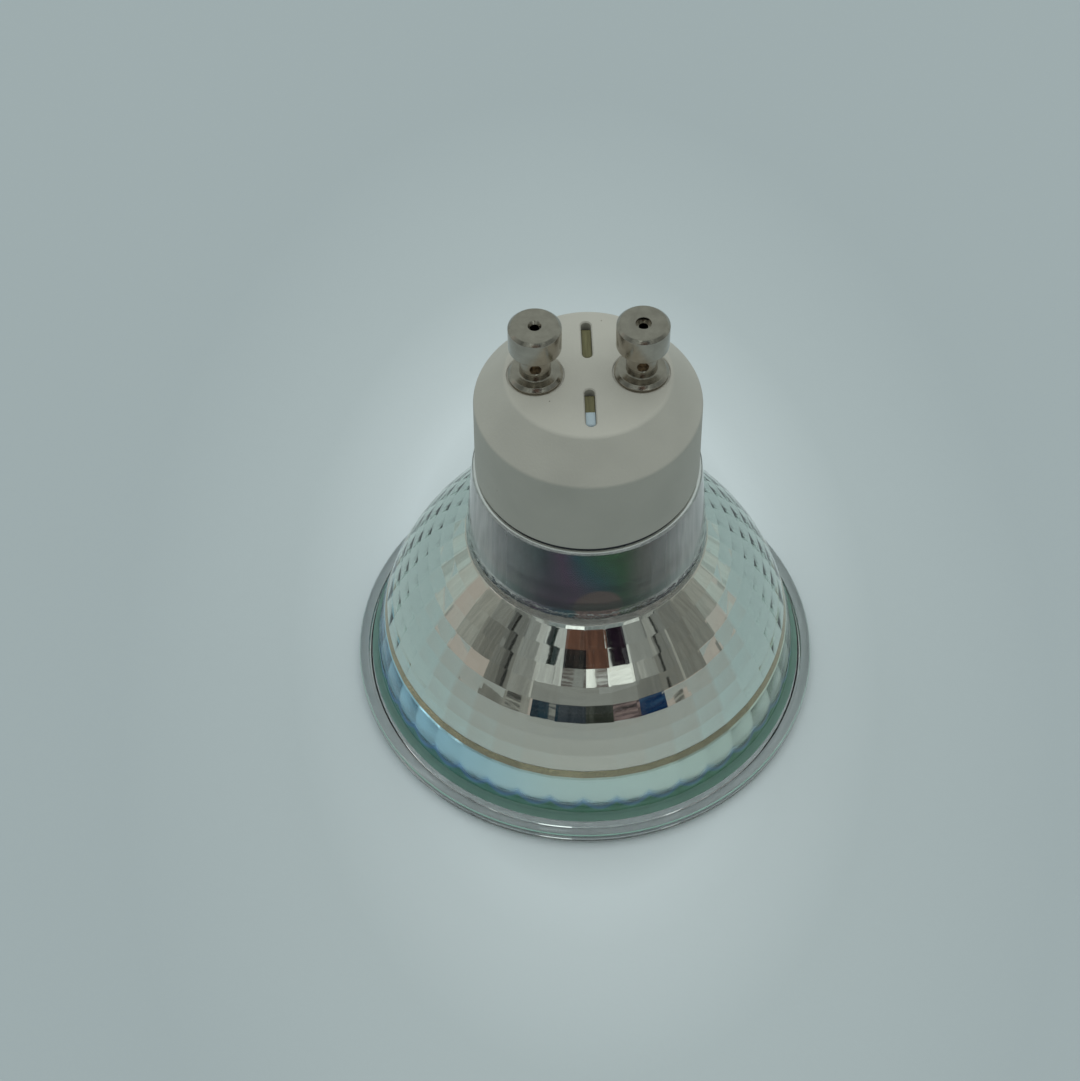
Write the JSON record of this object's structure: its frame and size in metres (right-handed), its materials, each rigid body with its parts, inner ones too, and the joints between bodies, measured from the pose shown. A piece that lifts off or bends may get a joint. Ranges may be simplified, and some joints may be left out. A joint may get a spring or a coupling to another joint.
{
  "type": "led light bulb",
  "caption": "LED reflector lamp: a faceted mirror bowl and neck of pressed glass, a clear front lens, and a white base with twist-lock contact pins.",
  "frame": {"origin": "centre of the front rim, on the surface that the lamp stands on face down", "axes": "+Z along the lamp's axis from the front rim to the contact pins, +X along the line through both pins"},
  "size_m": [0.05, 0.05, 0.052],
  "materials": {
    "coated_glass": "pressed glass with a mirror coating on its inner facets",
    "clear_lens": "clear and smooth",
    "clear_sealant": "translucent silicone",
    "dark_sealant": "dark silicone",
    "base_plastic": "fine moulded grain",
    "nickel": "nickel plate, turned",
    "tinned_wire": "tinned copper",
    "board_laminate": "glass-fibre laminate, cut edge",
    "film_case": "dipped epoxy",
    "can_sleeve": "shrunk sleeve",
    "fuse_paint": "flameproof coat",
    "ferrite": "sintered",
    "copper_wire": "enamelled copper",
    "black_package": "moulded epoxy",
    "chip_ceramic": "fired",
    "link_brass": "tinned brass",
    "led_board_white": "white solder mask on aluminium",
    "led_package": "white frame with a yellow phosphor well"
  },
  "bodies": {
    "root": {"glass_reflector": "coated_glass", "front_lens": "clear_lens", "lens_sealant": "clear_sealant", "neck_sealant": "dark_sealant", "base_cap": "base_plastic", "pin_left": "nickel", "pin_right": "nickel", "lead_left": "tinned_wire", "lead_right": "tinned_wire", "driver_board": "board_laminate", "film_capacitor": "film_case", "electrolytic_capacitor": "can_sleeve", "fuse_resistor": "fuse_paint", "drum_core": "ferrite", "drum_winding": "copper_wire", "bridge_rectifier": "black_package", "driver_ic": "black_package", "flyback_diode": "black_package", "smd_resistors": "black_package", "smd_capacitors": "chip_ceramic", "link_pins": "link_brass", "led_board": "led_board_white", "led_1": "led_package", "led_2": "led_package", "led_3": "led_package", "led_4": "led_package", "led_5": "led_package", "led_6": "led_package"}
  },
  "joints": []
}
